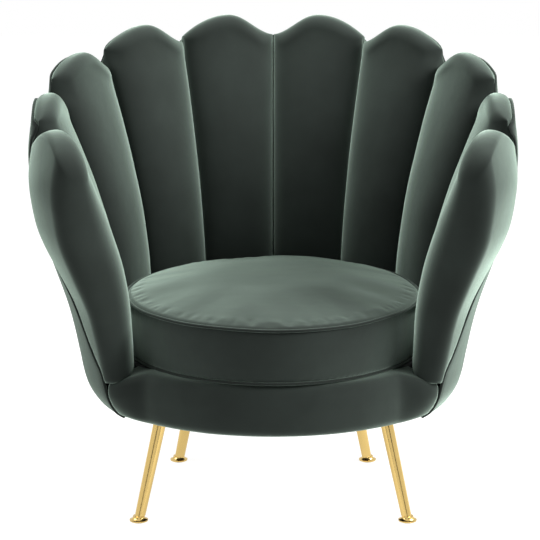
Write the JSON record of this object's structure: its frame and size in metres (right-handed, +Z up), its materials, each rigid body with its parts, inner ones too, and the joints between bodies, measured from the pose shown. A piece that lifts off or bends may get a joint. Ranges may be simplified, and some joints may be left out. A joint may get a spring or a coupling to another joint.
{
  "type": "tub chair",
  "caption": "Upholstered tub chair with a scalloped shell of padded petals, a loose round seat cushion and slanted tapered legs.",
  "frame": {"origin": "on the floor, under the middle of the chair's bounding box", "axes": "+Z up, the chair faces -Y, +X to the right as seen from the front"},
  "size_m": [0.904, 0.7362, 0.851],
  "materials": {
    "velvet": "short-pile velvet, soft sheen",
    "velvet_outer": "short-pile velvet, drawn tight",
    "velvet_cushion": "short-pile velvet, soft sheen",
    "piping": "velvet-covered piping cord",
    "foam": "open-cell foam",
    "plywood": "raw birch plywood",
    "webbing": "woven elastic webbing",
    "black_cloth": "non-woven cloth",
    "steel": "zinc plated",
    "brass": "polished, lacquered",
    "nylon": "moulded nylon",
    "zip_tape": "woven tape with coil",
    "zip_metal": "dark enamel"
  },
  "bodies": {
    "chair": {"arm_welt_left": "piping", "arm_welt_right": "piping", "base_ring": "plywood", "deck_pad": "foam", "dust_cover": "black_cloth", "foot_front_left": "brass", "foot_front_right": "brass", "foot_rear_left": "brass", "foot_rear_right": "brass", "front_rail_cover": "velvet", "front_rail_frame": "plywood", "glide_front_left": "nylon", "glide_front_right": "nylon", "glide_rear_left": "nylon", "glide_rear_right": "nylon", "leg_front_left": "brass", "leg_front_right": "brass", "leg_plate_front_left": "steel", "leg_plate_front_right": "steel", "leg_plate_rear_left": "steel", "leg_plate_rear_right": "steel", "leg_rear_left": "brass", "leg_rear_right": "brass", "outer_cover_arm_left": "velvet_outer", "outer_cover_arm_right": "velvet_outer", "outer_cover_back_left": "velvet_outer", "outer_cover_back_right": "velvet_outer", "outer_cover_rear_left": "velvet_outer", "outer_cover_rear_right": "velvet_outer", "outer_cover_side_left": "velvet_outer", "outer_cover_side_right": "velvet_outer", "outer_cover_wing_left": "velvet_outer", "outer_cover_wing_right": "velvet_outer", "petal_arm_left": "velvet", "petal_arm_right": "velvet", "petal_back_left": "velvet", "petal_back_right": "velvet", "petal_rear_left": "velvet", "petal_rear_right": "velvet", "petal_side_left": "velvet", "petal_side_right": "velvet", "petal_wing_left": "velvet", "petal_wing_right": "velvet", "plate_screws": "steel", "ribs": "plywood", "seat_ring": "plywood", "staves": "plywood", "webbing": "webbing"},
    "seat_cushion": {"cushion_base": "velvet_cushion", "cushion_border": "velvet_cushion", "cushion_core": "foam", "cushion_top": "velvet_cushion", "cushion_welt_base": "piping", "cushion_welt_top": "piping", "zip_tape": "zip_tape"},
    "zip_slider": {"zip_slider": "zip_metal", "zip_pull": "zip_metal"}
  },
  "joints": [
    {"name": "cushion_lift", "type": "slide", "parent": "chair", "child": "seat_cushion", "axis": [0, 0, 1], "range_m": [0, 0.6]},
    {"name": "zip_slide", "type": "hinge", "parent": "seat_cushion", "child": "zip_slider", "pos_m": [0, -0.085, 0.3354], "axis": [0, 0, 1], "range_deg": [0, 76]}
  ]
}
